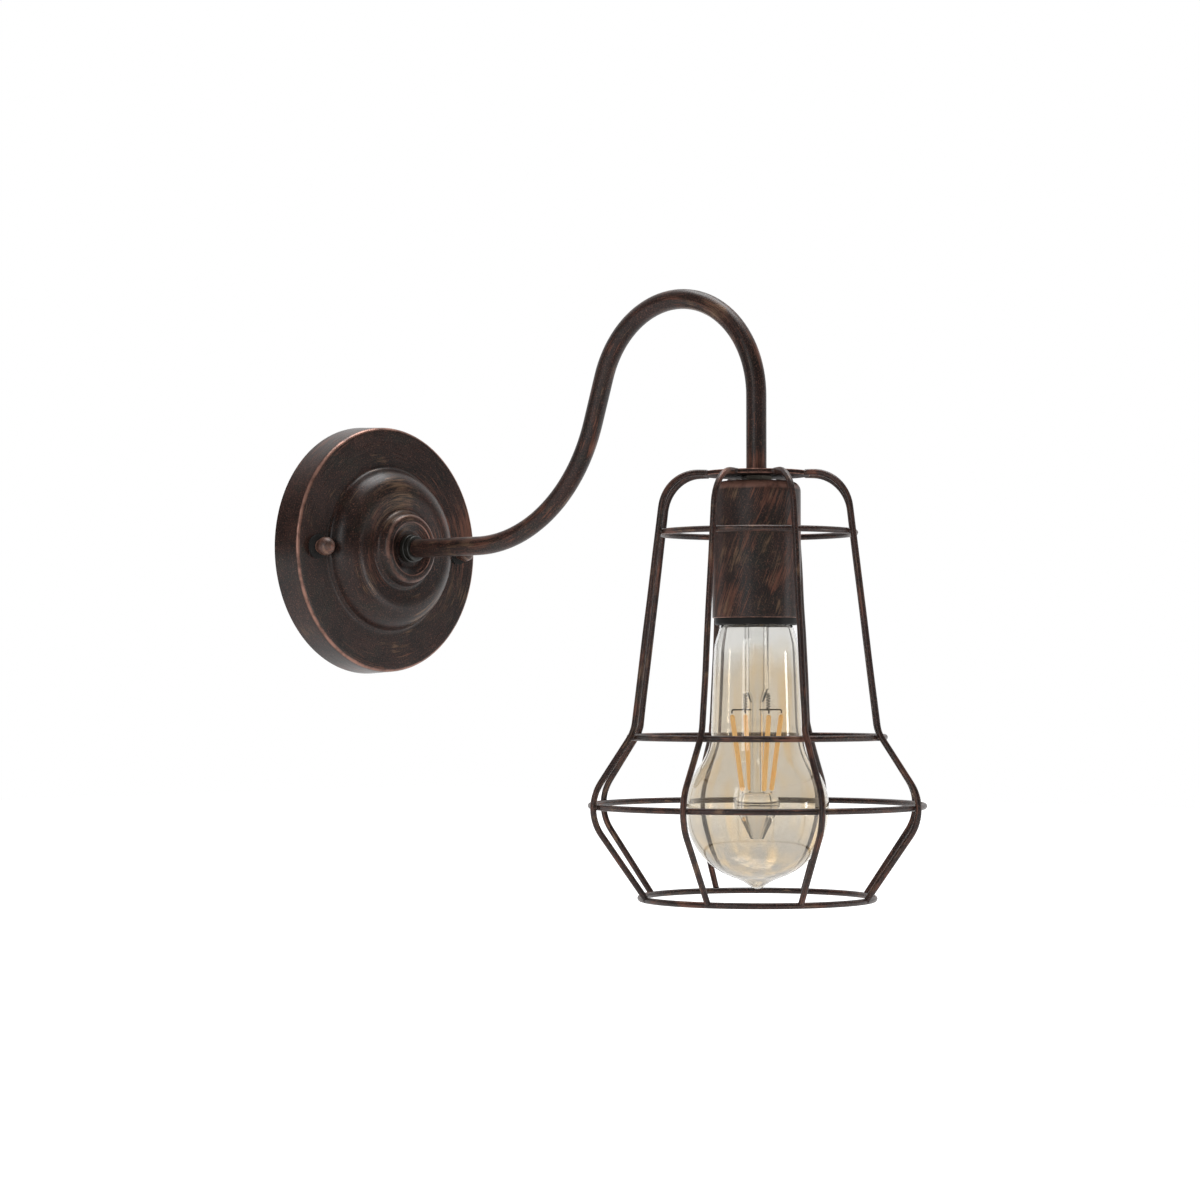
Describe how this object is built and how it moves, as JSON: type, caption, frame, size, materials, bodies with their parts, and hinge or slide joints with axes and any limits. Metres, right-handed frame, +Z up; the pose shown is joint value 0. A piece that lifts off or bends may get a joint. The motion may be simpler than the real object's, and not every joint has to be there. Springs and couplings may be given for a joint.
{
  "type": "wall lamp",
  "caption": "Industrial wall lamp: a spun round wall plate carries a swan-neck arm, a socket cup with a screw-in bulb and an open wire cage round it.",
  "frame": {"origin": "centre of the wall plate's back, on the wall, in line with the arm's start", "axes": "+Y into the wall, -Y out into the room along the arm, +Z up, +X to the right as seen from the room"},
  "size_m": [0.1526, 0.3319, 0.2804],
  "materials": {
    "bronze_paint": "near-black bronze paint, satin, dry-brushed with copper rust",
    "nut_paint": "grey-brown antique bronze, satin",
    "zinc_steel": "zinc-plated steel",
    "washer_fibre": "black fibre, matt",
    "ground_brass": "plain brass screws",
    "terminal_nylon": "natural nylon",
    "cable_sheath": "black sheath, matt",
    "holder_phenolic": "black phenolic moulding, satin",
    "holder_porcelain": "glazed white porcelain",
    "shell_brass": "pressed brass",
    "cap_brass": "brass screw cap, satin",
    "insulator_glass": "black glass insulator",
    "driver_board": "green circuit board",
    "amber_glass": "clear amber-tinted glass",
    "stem_glass": "clear glass stem",
    "filament_coat": "orange phosphor coat",
    "lead_wire": "dark nickel wire"
  },
  "bodies": {
    "fixture": {"wall_strap": "zinc_steel", "ground_screw": "ground_brass", "terminal_block": "terminal_nylon", "terminal_screws": "ground_brass", "left_stud": "zinc_steel", "right_stud": "zinc_steel", "stud_nuts": "zinc_steel", "canopy": "bronze_paint", "arm_ferrule": "bronze_paint", "arm_tube": "bronze_paint", "arm_washer": "zinc_steel", "arm_lock_nut": "zinc_steel", "lamp_cable": "cable_sheath", "cage_cap": "bronze_paint", "cage_lock_nut": "zinc_steel", "cage_rib_1": "bronze_paint", "cage_rib_2": "bronze_paint", "cage_rib_3": "bronze_paint", "cage_rib_4": "bronze_paint", "cage_rib_5": "bronze_paint", "cage_rib_6": "bronze_paint", "cage_rib_7": "bronze_paint", "cage_rib_8": "bronze_paint", "top_ring": "bronze_paint", "shoulder_ring": "bronze_paint", "belly_ring": "bronze_paint", "bottom_ring": "bronze_paint", "socket_cup": "bronze_paint", "holder_cap": "holder_phenolic", "holder_insert": "holder_porcelain", "holder_skirt": "holder_phenolic", "screw_shell": "shell_brass", "centre_contact": "shell_brass", "shell_contact": "shell_brass", "holder_screws": "ground_brass"},
    "bulb_thread": {"bulb_contact": "cap_brass"},
    "bulb": {"bulb_cap": "cap_brass", "bulb_insulator": "insulator_glass", "bulb_driver": "driver_board", "bulb_glass": "amber_glass", "bulb_stem": "stem_glass", "led_filaments": "filament_coat", "filament_leads": "lead_wire"},
    "left_nut_slide": {"left_nut_washer": "washer_fibre"},
    "left_nut": {"left_ball_nut": "nut_paint"},
    "right_nut_slide": {"right_nut_washer": "washer_fibre"},
    "right_nut": {"right_ball_nut": "nut_paint"}
  },
  "joints": [
    {"name": "bulb_travel", "type": "slide", "parent": "fixture", "child": "bulb_thread", "axis": [0, 0, -1], "range_m": [0, 0.01815]},
    {"name": "bulb_turn", "type": "hinge", "parent": "bulb_thread", "child": "bulb", "pos_m": [0, -0.2556, -0.1], "axis": [0, 0, -1], "range_deg": [0, 1800]},
    {"name": "left_nut_travel", "type": "slide", "parent": "fixture", "child": "left_nut_slide", "axis": [0, -1, 0], "range_m": [0, 0.0056]},
    {"name": "left_nut_turn", "type": "hinge", "parent": "left_nut_slide", "child": "left_nut", "pos_m": [-0.0485, -0.0219, 0], "axis": [0, -1, 0], "range_deg": [0, 2885]},
    {"name": "right_nut_travel", "type": "slide", "parent": "fixture", "child": "right_nut_slide", "axis": [0, -1, 0], "range_m": [0, 0.0056]},
    {"name": "right_nut_turn", "type": "hinge", "parent": "right_nut_slide", "child": "right_nut", "pos_m": [0.0485, -0.0219, 0], "axis": [0, -1, 0], "range_deg": [0, 2885]}
  ],
  "couplings": [
    {"joint": "bulb_travel", "follows": "bulb_turn", "m_per_rad": 0.00057757},
    {"joint": "left_nut_turn", "follows": "left_nut_travel", "rad_per_m": 8976},
    {"joint": "right_nut_turn", "follows": "right_nut_travel", "rad_per_m": 8976}
  ]
}
